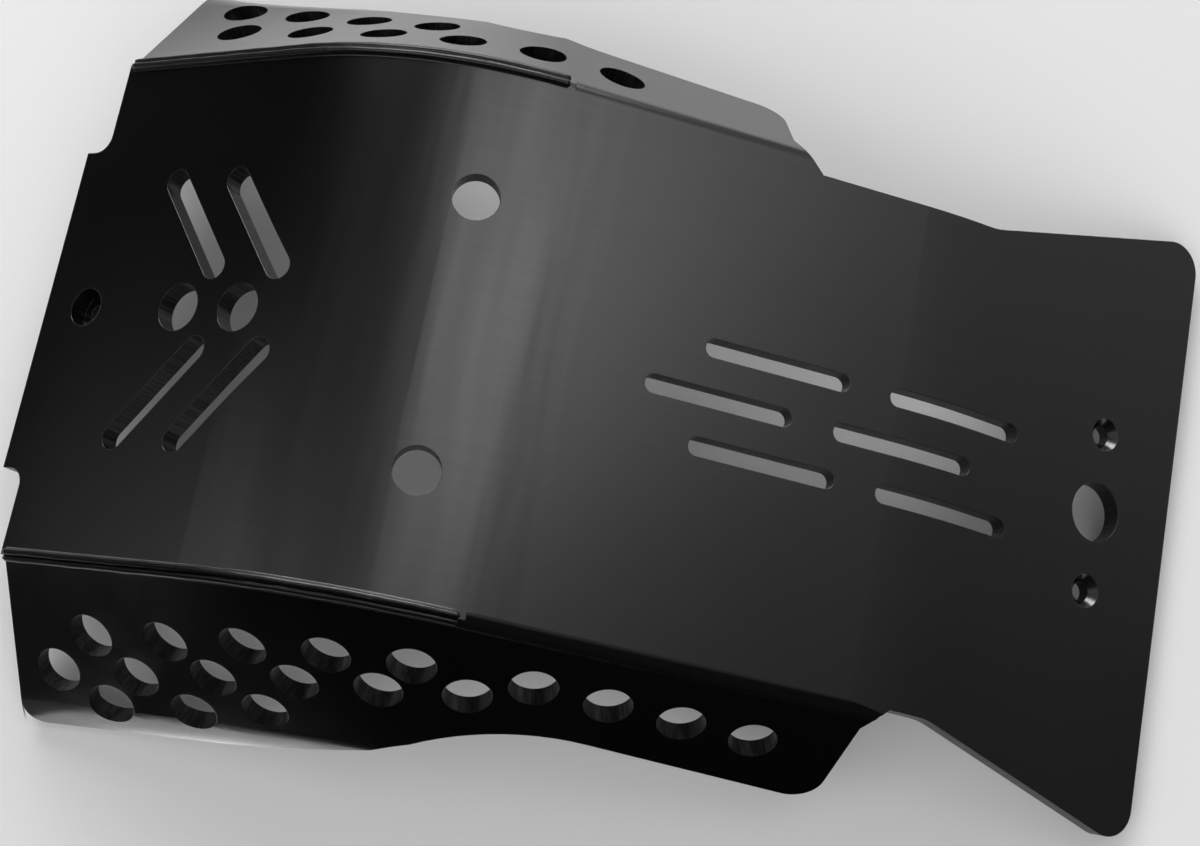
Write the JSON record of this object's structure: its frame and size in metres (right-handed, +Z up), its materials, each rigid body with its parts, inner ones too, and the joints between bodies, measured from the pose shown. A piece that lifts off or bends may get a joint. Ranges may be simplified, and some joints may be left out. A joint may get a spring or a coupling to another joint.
{
  "type": "motorcycle skid plate",
  "caption": "Thick folded sheet skid plate for a motorcycle: rolled slotted front, flared rear, and perforated side wings welded along the roll, guards the engine's underside.",
  "frame": {"origin": "middle of the bounding box, on the ground under the plate as it lies with its outer face up", "axes": "+X along the plate to its flared rear, +Y across it to the short wing, +Z up, away from the engine side"},
  "size_m": [0.3838, 0.2654, 0.0936],
  "materials": {
    "black_aluminium": "finely brushed, black satin coat"
  },
  "bodies": {
    "root": {"skid_plate": "black_aluminium"}
  },
  "joints": []
}
